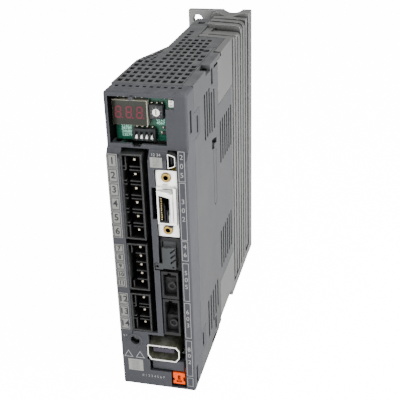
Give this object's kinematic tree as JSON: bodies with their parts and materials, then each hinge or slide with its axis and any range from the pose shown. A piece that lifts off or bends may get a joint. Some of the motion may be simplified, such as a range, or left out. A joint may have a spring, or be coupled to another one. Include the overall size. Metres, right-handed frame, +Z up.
{
  "type": "servo drive",
  "caption": "Narrow panel-mounted servo drive with a finned metal body, plug-in power headers, signal ports, a small display, a rotary dial, slide switches and pull-out caps.",
  "frame": {"origin": "middle of the footprint, at the level of the feet and of the mounting plate's lower end", "axes": "+X to the drive's right seen from the front, +Y from the front face towards the cabinet wall, +Z up"},
  "size_m": [0.04, 0.17, 0.168],
  "materials": {
    "cover_plastic": "fine moulded texture",
    "case_plastic": "fine moulded texture",
    "cast_aluminium": "die-cast, satin",
    "board_green": "solder mask, satin",
    "display_face": "smoked face",
    "segment_red": "unlit diffused bars",
    "switch_grey": "moulded",
    "switch_white": "moulded",
    "switch_dark": "moulded",
    "gold_plating": "thin gold plating",
    "header_black": "moulded",
    "connector_black": "moulded",
    "tin_plating": "bright tin",
    "nickel_steel": "nickel plating, satin",
    "brass_plating": "yellow chromate",
    "plug_grey": "moulded",
    "cap_black": "soft moulded",
    "insert_grey": "moulded",
    "orange_plastic": "moulded",
    "label_pale": "printed film",
    "lamp_lens": "dark lens",
    "resin_black": "epoxy",
    "pad_grey": "silicone sheet",
    "zinc_steel": "zinc plating",
    "capacitor_sleeve": "shrunk sleeve",
    "ferrite": "sintered",
    "coil_tape": "taped winding",
    "relay_body": "moulded",
    "choke_core": "coated toroid",
    "film_yellow": "boxed film"
  },
  "bodies": {
    "housing": {"battery_connector": "orange_plastic", "blank_panel": "plug_grey", "blank_stickers": "label_pale", "board_link": "header_black", "board_pins": "gold_plating", "board_screws": "zinc_steel", "board_standoffs": "zinc_steel", "bus_capacitors": "capacitor_sleeve", "charge_lamp": "lamp_lens", "control_board": "board_green", "digit_display": "display_face", "digit_segments": "segment_red", "dip_switch": "switch_dark", "display_board": "board_green", "display_link": "header_black", "earth_screws": "zinc_steel", "encoder_insert": "insert_grey", "encoder_shell": "nickel_steel", "film_capacitors": "film_yellow", "front_cover": "cover_plastic", "header_pins": "tin_plating", "heat_sink": "cast_aluminium", "inrush_relay": "relay_body", "io_contacts": "gold_plating", "io_insert": "connector_black", "io_shell": "nickel_steel", "jack_screws": "brass_plating", "line_choke": "choke_core", "logic_chips": "resin_black", "main_case": "case_plastic", "main_processor": "resin_black", "module_pins": "tin_plating", "module_screws": "zinc_steel", "monitor_socket": "switch_white", "optical_port_a": "connector_black", "optical_port_b": "connector_black", "power_board": "board_green", "power_header_3way": "header_black", "power_header_5way": "header_black", "power_header_6way": "header_black", "power_module": "resin_black", "rectifier": "resin_black", "right_cover": "case_plastic", "rotary_switch": "switch_grey", "safety_port": "connector_black", "service_port": "connector_black", "service_port_tongue": "connector_black", "terminal_labels": "label_pale", "thermal_pads": "pad_grey", "transformer_coil": "coil_tape", "transformer_core": "ferrite"},
    "rotary_dial": {"rotary_dial": "switch_white"},
    "dip_slider_1": {"dip_slider_1": "switch_white"},
    "dip_slider_2": {"dip_slider_2": "switch_white"},
    "dip_slider_3": {"dip_slider_3": "switch_white"},
    "dip_slider_4": {"dip_slider_4": "switch_white"},
    "safety_plug": {"safety_plug": "plug_grey"},
    "dust_cap_a": {"dust_cap_a": "cap_black"},
    "dust_cap_b": {"dust_cap_b": "cap_black"}
  },
  "joints": [
    {"name": "rotary_turn", "type": "hinge", "parent": "housing", "child": "rotary_dial", "pos_m": [0.0037, -0.0764, 0.1544], "axis": [0, -1, 0], "continuous": true},
    {"name": "dip_1_slide", "type": "slide", "parent": "housing", "child": "dip_slider_1", "axis": [0, 0, 1], "range_m": [0, 0.0014]},
    {"name": "dip_2_slide", "type": "slide", "parent": "housing", "child": "dip_slider_2", "axis": [0, 0, 1], "range_m": [0, 0.0014]},
    {"name": "dip_3_slide", "type": "slide", "parent": "housing", "child": "dip_slider_3", "axis": [0, 0, 1], "range_m": [0, 0.0014]},
    {"name": "dip_4_slide", "type": "slide", "parent": "housing", "child": "dip_slider_4", "axis": [0, 0, 1], "range_m": [0, 0.0014]},
    {"name": "safety_plug_pull", "type": "slide", "parent": "housing", "child": "safety_plug", "axis": [0, -1, 0], "range_m": [0, 0.012]},
    {"name": "dust_cap_a_pull", "type": "slide", "parent": "housing", "child": "dust_cap_a", "axis": [0, -1, 0], "range_m": [0, 0.011]},
    {"name": "dust_cap_b_pull", "type": "slide", "parent": "housing", "child": "dust_cap_b", "axis": [0, -1, 0], "range_m": [0, 0.011]}
  ]
}
